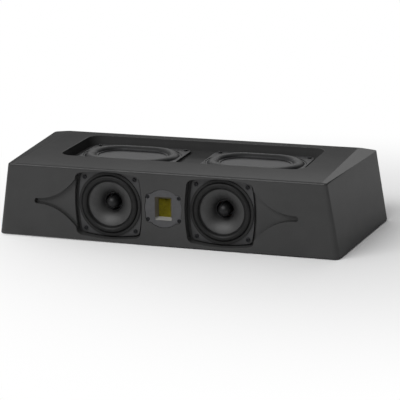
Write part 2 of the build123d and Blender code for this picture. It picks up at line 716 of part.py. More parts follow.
# Crossover on the base panel
board_y = back - wall - board_back_gap - board_width / 2
board_z = shoulder_z + board_rise
deck = board_z + board_thickness
board = rounded(board_length, board_width, spacer_radius, board_z, deck)
spacer = ring(screw_radius, spacer_radius, shoulder_z, board_z)
spacer_places = corners(board_length / 2 - spacer_inset, board_width / 2 - spacer_inset)
choke = Pos(0, 0, deck) * ring(coil_bore_radius, coil_radius, 0, coil_height)
small_choke = Pos(0, 0, deck) * ring(coil_bore_radius, small_coil_radius, 0, small_coil_height)
can_axis = Pos(0, 0, deck + capacitor_radius) * Rot(0, 90, 0)
capacitor = can_axis * Cylinder(capacitor_radius, capacitor_length)
resistor = block(resistor_length, resistor_size, deck, deck + resistor_size)
choke_x = -board_length / 2 + 2 * spacer_inset + coil_radius
cap_x = board_length / 2 - capacitor_length / 2
small_x = cap_x - capacitor_length / 2 - part_spacing - small_coil_radius
row = capacitor_radius + part_spacing / 2
at = Pos(0, board_y, 0)
save(at * board, "crossover_board")
save(at * group(spacer, [(x, y, 0) for x, y in spacer_places]), "board_spacers")
save(at * Pos(choke_x, 0, 0) * choke, "woofer_choke")
save(at * Pos(small_x, 0, 0) * small_choke, "tweeter_choke")
save(at * Pos(cap_x, row, 0) * capacitor, "woofer_capacitor")
save(at * Pos(cap_x, -row, 0) * capacitor, "tweeter_capacitor")
resistor_y = small_coil_radius + part_spacing + resistor_size / 2
save(at * Pos(small_x, resistor_y, 0) * resistor, "tweeter_resistor")
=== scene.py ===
import bmesh
import bpy
import numpy as np
from mathutils import Matrix, Vector


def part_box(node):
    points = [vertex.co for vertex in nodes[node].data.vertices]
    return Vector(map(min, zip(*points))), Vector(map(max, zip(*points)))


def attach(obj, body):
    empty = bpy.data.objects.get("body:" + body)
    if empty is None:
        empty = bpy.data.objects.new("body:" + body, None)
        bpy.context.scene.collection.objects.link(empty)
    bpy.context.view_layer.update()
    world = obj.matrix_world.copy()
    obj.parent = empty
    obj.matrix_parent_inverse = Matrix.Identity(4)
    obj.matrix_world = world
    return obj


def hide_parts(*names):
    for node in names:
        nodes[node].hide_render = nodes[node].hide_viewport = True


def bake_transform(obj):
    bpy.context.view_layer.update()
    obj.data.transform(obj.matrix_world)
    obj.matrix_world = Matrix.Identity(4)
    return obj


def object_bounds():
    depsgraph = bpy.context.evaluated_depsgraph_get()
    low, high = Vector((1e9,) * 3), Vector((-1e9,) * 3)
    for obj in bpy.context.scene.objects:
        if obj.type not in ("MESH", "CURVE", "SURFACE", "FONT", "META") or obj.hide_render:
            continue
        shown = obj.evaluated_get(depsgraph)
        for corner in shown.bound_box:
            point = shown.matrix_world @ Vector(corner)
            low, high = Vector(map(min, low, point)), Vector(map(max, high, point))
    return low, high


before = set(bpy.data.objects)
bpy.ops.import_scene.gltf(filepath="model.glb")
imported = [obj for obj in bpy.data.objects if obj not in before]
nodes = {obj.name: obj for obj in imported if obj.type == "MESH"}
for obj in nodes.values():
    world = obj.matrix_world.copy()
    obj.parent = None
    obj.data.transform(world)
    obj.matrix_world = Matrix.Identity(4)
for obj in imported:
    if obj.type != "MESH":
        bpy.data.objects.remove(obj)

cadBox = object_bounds()
mm = 0.001
sides = ("left", "right")
print("frame loaded:", len(nodes), "nodes")


# colours are written as sRGB hex and turned to the linear values that shaders take
def linear(hexColour):
    srgb = np.array([int(hexColour[i:i + 2], 16) for i in (1, 3, 5)]) / 255
    low = srgb / 12.92
    high = ((srgb + 0.055) / 1.055) ** 2.4
    return (*np.where(srgb <= 0.04045, low, high).tolist(), 1.0)


# adds a node; a setting names a property or an input, a link names an input and gives an output
def addNode(tree, kind, settings=None, links=None):
    node = tree.nodes.new(kind)
    for key, value in (settings or {}).items():
        if isinstance(key, str) and hasattr(node, key):
            setattr(node, key, value)
        else:
            node.inputs[key].default_value = value
    for key, output in (links or {}).items():
        tree.links.new(output, node.inputs[key])
    return node


# noise and wave scales count features per metre, so a size in millimetres is turned round
def perMetre(sizeMm):
    return 1 / (sizeMm * mm)


# most values of a noise lie between these two, so they are spread from 0 to 1
noiseLow, noiseHigh = 0.3, 0.7


# One finish: two shades mixed in soft patches, uneven gloss, and a fine grain in relief.
# "lines" adds fine ridges along the outline of a turned or swept piece, by its "along" attribute.
# "behind" gives another colour, and a share of metal if stated, to all that lies deeper along Y.
# There "sill" sets what lies below a height apart by a colour of its own: a painted highlight, as
# on the lit floor of a hollow.
def makeFinish(look):
    material = bpy.data.materials.new(look["name"])
    material.use_nodes = True
    tree = material.node_tree
    tree.nodes.clear()
    spot = addNode(tree, "ShaderNodeTexCoord")
    patches = addNode(
        tree, "ShaderNodeTexNoise",
        {"Scale": perMetre(look["patchMm"]), "Detail": 3.0, "Roughness": 0.55},
        {"Vector": spot.outputs["Object"]},
    )
    grain = addNode(
        tree, "ShaderNodeTexNoise",
        {"Scale": perMetre(look["grainMm"]), "Detail": 2.0, "Roughness": 0.6},
        {"Vector": spot.outputs["Object"]},
    )
    spread = addNode(
        tree, "ShaderNodeMapRange",
        {"From Min": noiseLow, "From Max": noiseHigh},
        {"Value": patches.outputs["Fac"]},
    )
    shade = addNode(
        tree, "ShaderNodeMix",
        {"data_type": "RGBA", 6: linear(look["deep"]), 7: linear(look["pale"])},
        {0: spread.outputs["Result"]},
    )
    gloss = addNode(
        tree, "ShaderNodeMapRange",
        {
            "From Min": noiseLow, "From Max": noiseHigh,
            "To Min": look["rough"][0], "To Max": look["rough"][1],
        },
        {"Value": grain.outputs["Fac"]},
    )
    relief = addNode(
        tree, "ShaderNodeBump",
        {"Strength": 1.0, "Distance": look["reliefMm"] * mm},
        {"Height": grain.outputs["Fac"]},
    )
    if "lines" in look:
        along = addNode(tree, "ShaderNodeAttribute", {"attribute_name": "along"})
        turns = addNode(
            tree, "ShaderNodeMath",
            {"operation": "MULTIPLY", 1: 2 * np.pi * perMetre(look["lines"]["pitchMm"])},
            {0: along.outputs["Fac"]},
        )
        ridges = addNode(tree, "ShaderNodeMath", {"operation": "SINE"}, {0: turns.outputs[0]})
        relief = addNode(
            tree, "ShaderNodeBump",
            {"Strength": 1.0, "Distance": look["lines"]["reliefMm"] * mm},
            {"Height": ridges.outputs[0], "Normal": relief.outputs["Normal"]},
        )
    shader = addNode(
        tree, "ShaderNodeBsdfPrincipled",
        {"Metallic": look.get("metallic", 0.0), **look.get("shader", {})},
        {
            "Base Color": shade.outputs[2],
            "Roughness": gloss.outputs["Result"],
            "Normal": relief.outputs["Normal"],
        },
    )
    if "behind" in look:
        behind = look["behind"]
        depth = addNode(tree, "ShaderNodeSeparateXYZ", None, {0: spot.outputs["Object"]})
        deeper = addNode(
            tree, "ShaderNodeMapRange",
            {"From Min": behind["start"], "From Max": behind["start"] + behind["fadeMm"] * mm},
            {"Value": depth.outputs["Y"]},
        )
        colour = addNode(
            tree, "ShaderNodeMix",
            {"data_type": "RGBA", 7: linear(behind["colour"])},
            {0: deeper.outputs["Result"], 6: shade.outputs[2]},
        )
        if "sill" in behind:
            sill = behind["sill"]
            lower = addNode(
                tree, "ShaderNodeMapRange",
                {"From Min": sill["top"] + sill["fadeMm"] * mm, "From Max": sill["top"]},
                {"Value": depth.outputs["Z"]},
            )
            # painted light: the sill's pale colour below the given height, the colour behind above
            # it
            paintedSillLight = addNode(
                tree, "ShaderNodeMix",
                {"data_type": "RGBA", 6: linear(behind["colour"]), 7: linear(sill["colour"])},
                {0: lower.outputs["Result"]},
            )
            tree.links.new(paintedSillLight.outputs[2], colour.inputs[7])
        if "metallic" in behind:
            metal = addNode(
                tree, "ShaderNodeMapRange",
                {"To Min": look.get("metallic", 0.0), "To Max": behind["metallic"]},
                {"Value": deeper.outputs["Result"]},
            )
            tree.links.new(metal.outputs["Result"], shader.inputs["Metallic"])
        tree.links.new(colour.outputs[2], shader.inputs["Base Color"])
    addNode(tree, "ShaderNodeOutputMaterial", None, {"Surface": shader.outputs["BSDF"]})
    return material


# Fibreboard sprayed with charcoal lacquer under a thin clear coat: an even dark grey, with a trace
# of orange peel, that turns pale only where it is seen at a flat angle or on a rounded edge.
# The peel is about 1 mm across on such a cabinet and is drawn twice as coarse, so that it shows.
satinLacquer = makeFinish({
    "name": "satin_lacquer_sprayed", "deep": "#383838", "pale": "#3c3c3c", "patchMm": 60.0,
    "rough": (0.36, 0.44), "grainMm": 2.2, "reliefMm": 0.01,
    "shader": {"Specular IOR Level": 0.0, "Coat Weight": 0.32, "Coat Roughness": 0.1},
})
# Fibreboard under rolled matt black paint: flat and slightly stippled.
mattBlackPaint = makeFinish({
    "name": "matt_paint_rolled", "deep": "#151515", "pale": "#1d1d1d", "patchMm": 25.0,
    "rough": (0.6, 0.75), "grainMm": 1.4, "reliefMm": 0.05,
})
# Die-cast aluminium with a black powder coat: dry sheen and a sandy grain.
powderCoatedCasting = makeFinish({
    "name": "aluminium_cast_powder_coated", "deep": "#2c2c2d", "pale": "#343435", "patchMm": 12.0,
    "rough": (0.42, 0.56), "grainMm": 0.9, "reliefMm": 0.05,
})
# Moulded butyl rubber: near black, dull, with faint rings left by the mould and a greyish bloom.
butylRubber = makeFinish({
    "name": "butyl_rubber_moulded", "deep": "#131313", "pale": "#1a1a1a", "patchMm": 9.0,
    "rough": (0.42, 0.55), "grainMm": 0.7, "reliefMm": 0.02,
    "shader": {"Specular IOR Level": 0.22}, "lines": {"pitchMm": 1.6, "reliefMm": 0.015},
})
# Closed-cell rubber ring: blacker and drier than the rubber beside it.
foamRubber = makeFinish({
    "name": "cell_rubber_die_cut", "deep": "#0a0a0a", "pale": "#101010", "patchMm": 5.0,
    "rough": (0.7, 0.85), "grainMm": 0.5, "reliefMm": 0.06,
})
# Aluminium spun to a cone, with a dark satin coat: fine turning rings that catch the light softly.
spunAluminium = makeFinish({
    "name": "aluminium_spun_satin", "deep": "#4a4a4a", "pale": "#525252", "patchMm": 20.0,
    "metallic": 0.9, "rough": (0.55, 0.63), "grainMm": 0.8, "reliefMm": 0.01,
    "lines": {"pitchMm": 1.1, "reliefMm": 0.008},
})
# Aluminium turned on a lathe and anodised dark: a tight highlight broken by tool rings.
turnedAluminium = makeFinish({
    "name": "aluminium_turned_anodised", "deep": "#19191a", "pale": "#202021", "patchMm": 8.0,
    "metallic": 0.5, "rough": (0.4, 0.5), "grainMm": 0.6, "reliefMm": 0.005,
    "lines": {"pitchMm": 0.9, "reliefMm": 0.006},
})
# Steel screws blackened in an oxide bath: blue-black with an oily, uneven sheen.
blackOxideSteel = makeFinish({
    "name": "steel_black_oxide", "deep": "#121213", "pale": "#26272a", "patchMm": 1.6,
    "metallic": 0.7, "rough": (0.3, 0.5), "grainMm": 0.4, "reliefMm": 0.01,
})
# Aluminium plate, blasted and painted grey: calm and even. Its flared mouth is painted with light
# and shade: dark brown cheeks and lintel, painted shade with a brown cast from a painted reflection
# of the film, above a pale sill, a painted highlight where light from above falls.
plateLow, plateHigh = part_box("tweeter_faceplate")
plateMiddle = (plateLow.z + plateHigh.z) / 2
throatHeight = 36.0
plateWithPaintedMouthLight = makeFinish({
    "name": "aluminium_blasted_painted_with_painted_mouth_light", "deep": "#38383a", "pale": "#3f3f41", "patchMm": 9.0,
    "rough": (0.36, 0.46), "grainMm": 0.7, "reliefMm": 0.03,
    "behind": {
        # painted shade: the mouth's cheeks and lintel, dark brown from a painted reflection of the
        # film
        "start": plateLow.y + 0.2 * mm, "fadeMm": 0.2, "colour": "#4f4a40",
        # painted highlight: the pale sill below the throat, where light from above falls
        "sill": {
            "top": plateMiddle - throatHeight / 2 * mm, "fadeMm": 0.5, "colour": "#807f7c",
        },
    },
})
# Polyimide film with a thin metal layer, folded in pleats: amber gold with soft metallic glints.
goldFilm = makeFinish({
    "name": "polyimide_film_folded", "deep": "#6a6210", "pale": "#918820", "patchMm": 6.0,
    "metallic": 0.35, "rough": (0.3, 0.42), "grainMm": 0.8, "reliefMm": 0.01,
})
# Pressed steel with a black dip coat: smoother and a little glossier than powder.
dipCoatedSteel = makeFinish({
    "name": "steel_pressed_dip_coated", "deep": "#2a2a2b", "pale": "#323233", "patchMm": 14.0,
    "rough": (0.4, 0.5), "grainMm": 1.1, "reliefMm": 0.02,
    "shader": {"Specular IOR Level": 0.2},
})
# Moulded rubber of the wide rolls round the radiators: near black, satin on the crest.
rollRubber = makeFinish({
    "name": "nitrile_rubber_moulded", "deep": "#161617", "pale": "#1c1c1d", "patchMm": 14.0,
    "rough": (0.36, 0.44), "grainMm": 0.9, "reliefMm": 0.01,
    "shader": {"Specular IOR Level": 0.25}, "lines": {"pitchMm": 2.4, "reliefMm": 0.015},
})
# Flat aluminium panel, bead-blasted and anodised dark: a calm grey with a soft sheen.
blastedAluminium = makeFinish({
    "name": "aluminium_bead_blasted", "deep": "#2f2f30", "pale": "#343435", "patchMm": 18.0,
    "metallic": 0.1, "rough": (0.34, 0.42), "grainMm": 0.8, "reliefMm": 0.01,
    "shader": {"Specular IOR Level": 0.2},
})
# Cup moulded in ABS with a spark-eroded grain: black and dry.
sparkGrainPlastic = makeFinish({
    "name": "abs_moulded_spark_grain", "deep": "#161617", "pale": "#202021", "patchMm": 10.0,
    "rough": (0.5, 0.62), "grainMm": 0.8, "reliefMm": 0.06,
})
# Turned brass under bright gold plating.
goldPlatedBrass = makeFinish({
    "name": "brass_gold_plated", "deep": "#c79a3a", "pale": "#d9b45a", "patchMm": 3.0,
    "metallic": 1.0, "rough": (0.16, 0.26), "grainMm": 0.5, "reliefMm": 0.004,
})
# Caps moulded in polycarbonate, dyed through: glossy with faint flow marks.
redPolycarbonate = makeFinish({
    "name": "polycarbonate_red_moulded", "deep": "#8e1512", "pale": "#a81c17", "patchMm": 4.0,
    "rough": (0.22, 0.32), "grainMm": 0.6, "reliefMm": 0.006,
})
blackPolycarbonate = makeFinish({
    "name": "polycarbonate_black_moulded", "deep": "#0e0e0f", "pale": "#18181a", "patchMm": 4.0,
    "rough": (0.22, 0.32), "grainMm": 0.6, "reliefMm": 0.006,
})
# Moulded rubber feet: matt, with a dusty bloom.
footRubber = makeFinish({
    "name": "rubber_foot_moulded", "deep": "#141414", "pale": "#1f1f1f", "patchMm": 6.0,
    "rough": (0.7, 0.85), "grainMm": 0.8, "reliefMm": 0.05,
})
# Zinc-plated mild steel: pale grey with a slight blue and yellow cast.
zincPlatedSteel = makeFinish({
    "name": "steel_zinc_plated", "deep": "#9a9ea2", "pale": "#b9b8a8", "patchMm": 7.0,
    "metallic": 1.0, "rough": (0.28, 0.42), "grainMm": 0.9, "reliefMm": 0.01,
})
# Sintered ferrite: charcoal, dull, ground flat.
sinteredFerrite = makeFinish({
    "name": "ferrite_sintered_ground", "deep": "#2a2a2c", "pale": "#38383a", "patchMm": 5.0,
    "rough": (0.55, 0.7), "grainMm": 0.6, "reliefMm": 0.05,
})
# Voice coil: a former of dark glass cloth, wound at its far end with enamelled copper.
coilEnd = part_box("voice_coil_left")[1].y
windingLength = 11.0
coilFormer = makeFinish({
    "name": "glass_cloth_former_wound", "deep": "#242425", "pale": "#2e2e2f", "patchMm": 2.0,
    "rough": (0.4, 0.55), "grainMm": 0.6, "reliefMm": 0.03,
    "behind": {
        "start": coilEnd - windingLength * mm, "fadeMm": 0.3, "colour": "#a05a2a", "metallic": 0.8,
    },
})
# Steel under black zinc: the magnet's poles, which show as a dark hollow behind the cone.
blackZincSteel = makeFinish({
    "name": "steel_black_zinc", "deep": "#2a2a2c", "pale": "#363639", "patchMm": 4.0,
    "metallic": 0.6, "rough": (0.4, 0.55), "grainMm": 0.7, "reliefMm": 0.01,
})
# Enamelled copper wire wound in layers: warm brown with a varnish gloss.
enamelledCopper = makeFinish({
    "name": "copper_enamelled_wound", "deep": "#7c3a1a", "pale": "#b0642f", "patchMm": 2.0,
    "metallic": 0.8, "rough": (0.26, 0.4), "grainMm": 1.2, "reliefMm": 0.12,
})
# Cotton cloth stiffened with resin and pressed into waves: tan, dry.
resinCloth = makeFinish({
    "name": "cotton_resin_pressed", "deep": "#a5854e", "pale": "#c2a56a", "patchMm": 3.0,
    "rough": (0.75, 0.9), "grainMm": 0.8, "reliefMm": 0.12,
})
# Glass-epoxy laminate under green solder lacquer.
greenLaminate = makeFinish({
    "name": "laminate_solder_lacquered", "deep": "#0f3d22", "pale": "#155030", "patchMm": 6.0,
    "rough": (0.3, 0.42), "grainMm": 1.0, "reliefMm": 0.03,
})
# Natural nylon spacers: milky white.
naturalNylon = makeFinish({
    "name": "nylon_natural_turned", "deep": "#cfcabb", "pale": "#dedacd", "patchMm": 4.0,
    "rough": (0.4, 0.5), "grainMm": 0.7, "reliefMm": 0.01,
})
# Film capacitors in a dipped yellow jacket.
yellowJacket = makeFinish({
    "name": "polyester_film_jacket", "deep": "#c79a1c", "pale": "#d8ae2c", "patchMm": 5.0,
    "rough": (0.3, 0.45), "grainMm": 1.0, "reliefMm": 0.03,
})
# Cement-filled ceramic resistor body: chalky white.
whiteCeramic = makeFinish({
    "name": "ceramic_cement_filled", "deep": "#d6d2c8", "pale": "#e6e3da", "patchMm": 4.0,
    "rough": (0.75, 0.9), "grainMm": 0.7, "reliefMm": 0.08,
})
print("finishes made:", len(bpy.data.materials))

# which finish each kind of node takes; a name without a side stands for both sides
nodeFinish = {
    "cabinet_shell": satinLacquer, "base_panel": mattBlackPaint, "base_screws": blackOxideSteel,
    "foot": footRubber, "woofer_basket": powderCoatedCasting, "woofer_screws": blackOxideSteel,
    "voice_coil": coilFormer, "top_plate": blackZincSteel, "ring_magnet": sinteredFerrite,
    "pole_yoke": blackZincSteel, "tweeter_faceplate": plateWithPaintedMouthLight,
    "tweeter_screws": blackOxideSteel, "tweeter_can": zincPlatedSteel,
    "tweeter_magnet": sinteredFerrite, "radiator_frame": dipCoatedSteel,
    "radiator_screws": blackOxideSteel, "terminal_cup": sparkGrainPlastic,
    "terminal_screws": blackOxideSteel, "binding_post": goldPlatedBrass,
    "post_cap_positive": redPolycarbonate, "post_cap_negative": blackPolycarbonate,
    "crossover_board": greenLaminate, "board_spacers": naturalNylon,
    "woofer_choke": enamelledCopper, "tweeter_choke": enamelledCopper,
    "woofer_capacitor": yellowJacket, "tweeter_capacitor": yellowJacket,
    "tweeter_resistor": whiteCeramic,
}
dressed = 0
for nodeName, finish in nodeFinish.items():
    for name, node in nodes.items():
        if name.startswith(nodeName):
            for materialSlot in node.material_slots:
                materialSlot.material = finish
            dressed += 1
print("nodes dressed:", dressed)


# Even steps along an outline of (radius, height) points, with corners rounded by a running average
# as wide as "soft". A closed outline wraps round; an open one keeps its two ends.
def softOutline(points, step, soft, closed=True):
    corners = np.array(points, float)
    if closed:
        corners = np.vstack([corners, corners[:1]])
    length = np.r_[0, np.cumsum(np.hypot(*np.diff(corners, axis=0).T))]
    count = int(round(length[-1] / step)) + 1
    steps = np.linspace(0, length[-1], count)[:count - 1 if closed else count]
    even = np.stack([np.interp(steps, length, corners[:, k]) for k in (0, 1)], -1)
    reach = max(1, int(round(soft / step)))
    window = np.hanning(2 * reach + 3)[1:-1]
    window /= window.sum()
    if closed:
        padded = np.pad(even, ((reach, reach), (0, 0)), mode="wrap")
    else:
        padded = np.pad(even, ((reach, reach), (0, 0)), mode="reflect", reflect_type="odd")
    return np.stack([np.convolve(padded[:, k], window, "valid") for k in (0, 1)], -1), steps


# Points on the circle through three (radius, height) points, from first to last past the second.
def arcThrough(first, second, last, count):
    a, b, c = (np.array(p, float) for p in (first, second, last))
    slopes = 2 * np.array([b - a, c - a])
    centre = np.linalg.solve(slopes, [b @ b - a @ a, c @ c - a @ a])
    start, middle, end = (np.arctan2(*(p - centre)[::-1]) for p in (a, b, c))
    turn = (end - start) % (2 * np.pi)
    if (middle - start) % (2 * np.pi) > turn:
        turn -= 2 * np.pi
    angles = start + turn * np.linspace(0, 1, count)
    return centre + np.hypot(*(a - centre)) * np.stack([np.cos(angles), np.sin(angles)], -1)


# A circle about a driver's axis, which points to the front.
# At angle a the outward direction is (cos a, 0, sin a).
def circlePath(centre, count):
    angle = np.linspace(0, 2 * np.pi, count, endpoint=False)
    outward = np.stack([np.cos(angle), 0 * angle, np.sin(angle)], -1)
    return np.tile(centre, (count, 1)), outward, np.array([0.0, -1.0, 0.0])


# A racetrack seen from above: two half circles about points half a straight away, joined by runs.
def racePath(centre, straight, bendCount, runCount):
    bend = np.linspace(-np.pi / 2, np.pi / 2, bendCount)
    run = np.linspace(1, -1, runCount + 2)[1:-1]
    angle = np.r_[
        bend, np.full(runCount, np.pi / 2), bend + np.pi, np.full(runCount, 1.5 * np.pi)]
    shift = np.r_[np.ones(bendCount), run, -np.ones(bendCount), -run] * straight / 2
    origins = centre + np.stack([shift, 0 * shift, 0 * shift], -1)
    outward = np.stack([np.cos(angle), np.sin(angle), 0 * angle], -1)
    return origins, outward, np.array([0.0, 0.0, 1.0])


# An outline carried along a path: point = origin + radius * outward + height * axis.
def swept(outline, path):
    origins, outward, axis = path
    radius, height = outline[:, 0, None, None], outline[:, 1, None, None]
    return origins[None] + radius * outward[None] + height * axis


# Quads between neighbouring rows and columns of a grid; a wrapped direction joins end to start.
def gridFaces(rows, columns, wrapRows, wrapColumns):
    i = np.arange(rows if wrapRows else rows - 1)
    j = np.arange(columns if wrapColumns else columns - 1)
    a, b = np.meshgrid(i, j, indexing="ij")
    c, d = (a + 1) % rows, (b + 1) % columns
    quads = [a * columns + b, c * columns + b, c * columns + d, a * columns + d]
    return np.stack(quads, -1).reshape(-1, 4)


# points nearer than this are one, and edges sharper than this stay sharp
weldMm, sharpDegrees = 0.001, 40


# Puts points and quads into a mesh, turned so that its volume is positive, with poles merged.
def makePiece(name, points, quads, finish, along=None):
    points = points.reshape(-1, 3)
    p = [points[quads[:, k]] for k in range(4)]
    volume = np.einsum("ij,ij->", p[0], np.cross(p[1], p[2]) + np.cross(p[2], p[3]))
    if volume < 0:
        quads = quads[:, ::-1]
    mesh = bpy.data.meshes.new(name)
    mesh.vertices.add(len(points))
    mesh.vertices.foreach_set("co", points.astype(np.float32).ravel())
    mesh.loops.add(quads.size)
    mesh.loops.foreach_set("vertex_index", quads.astype(np.int32).ravel())
    mesh.polygons.add(len(quads))
    mesh.polygons.foreach_set("loop_start", np.arange(0, quads.size, 4, dtype=np.int32))
    mesh.update(calc_edges=True)
    if along is not None:
        attribute = mesh.attributes.new("along", "FLOAT", "POINT")
        attribute.data.foreach_set("value", along.astype(np.float32))
    welded = bmesh.new()
    welded.from_mesh(mesh)
    bmesh.ops.remove_doubles(welded, verts=welded.verts, dist=weldMm * mm)
    welded.to_mesh(mesh)
    welded.free()
    mesh.polygons.foreach_set("use_smooth", np.ones(len(mesh.polygons), dtype=bool))
    mesh.set_sharp_from_angle(angle=np.radians(sharpDegrees))
    mesh.materials.append(finish)
    piece = bpy.data.objects.new(name, mesh)
    bpy.context.scene.collection.objects.link(piece)
    return piece


# A turned or swept piece from corner points in millimetres; an open outline ends on the axis.
def sweptPiece(name, corners, path, finish, stepMm, softMm, closed=True):
    outline, steps = softOutline(corners, stepMm, softMm, closed)
    if not closed:
        outline[[0, -1], 0] = 0
    grid = swept(outline * mm, path)
    rows, columns = grid.shape[:2]
    along = np.repeat(steps * mm, columns)
    return makePiece(name, grid, gridFaces(rows, columns, closed, True), finish, along)


# Bakes a soft ring's placement into its mesh, so that it stays fixed where it was built.
def blendRing(piece):
    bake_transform(piece)


def vertices(piece):
    points = np.zeros(len(piece.data.vertices) * 3, np.float32)
    piece.data.vertices.foreach_get("co", points)
    return points.reshape(-1, 3)


# the middle and the spans of a node's box
def seat(node):
    low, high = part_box(node)
    return np.array((low + high) / 2), np.array(high - low)


# Woofers. Radii in millimetres; heights are measured forward from the front of the frame's flange.
woofer = {
    "rollOut": 57.8, "rollIn": 45.8, "rollHeight": 5.0, "rollCount": 40, "skin": 1.0,
    "lipOut": 61.8, "lipIn": 43.8, "beadHeight": 0.5, "beadTop": 1.0, "beadFoot": 1.6,
    "gasketOut": 63.3, "gasketIn": 58.15, "gasketFoot": 0.0, "gasketTop": 2.6, "gasketGap": 0.35,
    "coneRim": -0.35, "coneMiddle": (27.98, -8.18), "coneWall": 1.2, "coneCount": 60,
    "neck": 18.15, "neckDepth": -22.0,
    "plugRadius": 12.5, "plugFoot": -42.0, "plugTop": -4.0, "plugNose": 12.0, "noseCount": 40,
    "spiderIn": 18.35, "spiderOut": 41.5, "spiderWaves": 4, "spiderRise": 1.8, "spiderFoot": 0.2,
    "spiderRimIn": 2, "spiderRimOut": 4, "spiderCount": 160, "around": 160,
}


def buildWoofer(side):
    w = woofer
    centre, span = seat(f"woofer_surround_{side}")
    centre[1] += span[1] / 2
    path = circlePath(centre, w["around"])
    body = f"woofer_cone_{side}"
    middle = (w["rollOut"] + w["rollIn"]) / 2
    under = arcThrough(
        (w["rollOut"] - w["skin"], 0), (middle, w["rollHeight"]),
        (w["rollIn"] + w["skin"], 0), w["rollCount"])
    over = arcThrough(
        (w["rollIn"], w["skin"]), (middle, w["rollHeight"] + w["skin"]),
        (w["rollOut"], w["skin"]), w["rollCount"])
    bead = w["skin"] + w["beadHeight"]
    rollOutline = [
        (w["lipOut"], w["skin"]), (w["lipOut"], 0), *under, (w["lipIn"], 0),
        (w["lipIn"], bead), (w["lipIn"] + w["beadTop"], bead),
        (w["lipIn"] + w["beadFoot"], w["skin"]), *over,
    ]
    surround = sweptPiece(
        f"surround_{side}", rollOutline, path, butylRubber, stepMm=0.35, softMm=0.7)
    points = vertices(surround) - centre
    blendRing(surround)
    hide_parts(f"woofer_surround_{side}")

    gasketOutline = [
        (w["gasketIn"], w["skin"]), (w["gasketIn"], w["gasketTop"]),
        (w["gasketOut"], w["gasketTop"]), (w["gasketOut"], w["gasketFoot"]),
        (w["lipOut"] + w["gasketGap"], w["gasketFoot"]),
        (w["lipOut"] + w["gasketGap"], w["skin"]),
    ]
    gasket = sweptPiece(
        f"gasket_{side}", gasketOutline, path, foamRubber, stepMm=0.2, softMm=0.5)
    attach(gasket, "cabinet")
    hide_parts(f"woofer_gasket_{side}")

    wall, (flareRadius, flareDepth) = w["coneWall"], w["coneMiddle"]
    front = arcThrough(
        (w["lipIn"], w["coneRim"]), (flareRadius, flareDepth),
        (w["neck"], w["neckDepth"]), w["coneCount"])
    back = arcThrough(
        (w["neck"] + wall, w["neckDepth"]), (flareRadius + wall, flareDepth - wall),
        (w["lipIn"] + wall, w["coneRim"] - wall), w["coneCount"])
    coneOutline = [(w["rollIn"], w["coneRim"]), *front, *back, (w["rollIn"], w["coneRim"] - wall)]
    cone = sweptPiece(f"cone_{side}", coneOutline, path, spunAluminium, stepMm=0.6, softMm=0.6)
    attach(cone, body)
    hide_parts(f"woofer_cone_{side}")

    # bullet: a straight shank under a quarter ellipse
    bow = np.linspace(0, np.pi / 2, w["noseCount"])
    nose = np.stack([
        w["plugRadius"] * np.cos(bow), w["plugTop"] - w["plugNose"] * (1 - np.sin(bow))], -1)
    plugOutline = [(0, w["plugFoot"]), (w["plugRadius"], w["plugFoot"]), *nose]
    plug = sweptPiece(
        f"plug_{side}", plugOutline, path, turnedAluminium, stepMm=0.5, softMm=0.5, closed=False)
    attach(plug, "cabinet")
    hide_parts(f"phase_plug_{side}")

    # spider: height follows a cosine of the radius, in whole waves between two flat rims
    spiderCentre, spiderSpan = seat(f"woofer_spider_{side}")
    spiderCentre[1] += spiderSpan[1] / 2
    radius = np.linspace(w["spiderIn"], w["spiderOut"], w["spiderCount"])
    waveIn, waveOut = w["spiderIn"] + w["spiderRimIn"], w["spiderOut"] - w["spiderRimOut"]
    share = np.clip((radius - waveIn) / (waveOut - waveIn), 0, 1)
    height = w["spiderRise"] / 2 * (1 - np.cos(2 * np.pi * w["spiderWaves"] * share))
    upper = np.stack([radius, height + w["skin"]], -1)
    lower = np.stack([radius, height + w["spiderFoot"]], -1)[::-1]
    spiderPath = circlePath(spiderCentre, w["around"])
    spider = sweptPiece(
        f"spider_{side}", [*upper, *lower], spiderPath, resinCloth, stepMm=0.4, softMm=0.4)
    points = vertices(spider) - spiderCentre
    blendRing(spider)
    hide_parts(f"woofer_spider_{side}")


for side in sides:
    buildWoofer(side)
print("woofers built")

# Passive radiators. Millimetres; heights from the underside of the surround's lip.
radiator = {
    "straight": 60.0, "rollOut": 67.5, "rollIn": 44.5, "rollHeight": 6.4, "rollCount": 50,
    "skin": 1.2, "lipOut": 71.0, "lipIn": 41.0, "panelReach": 44.5, "panelThick": 3.0,
    "bendCount": 73, "runCount": 21,
}


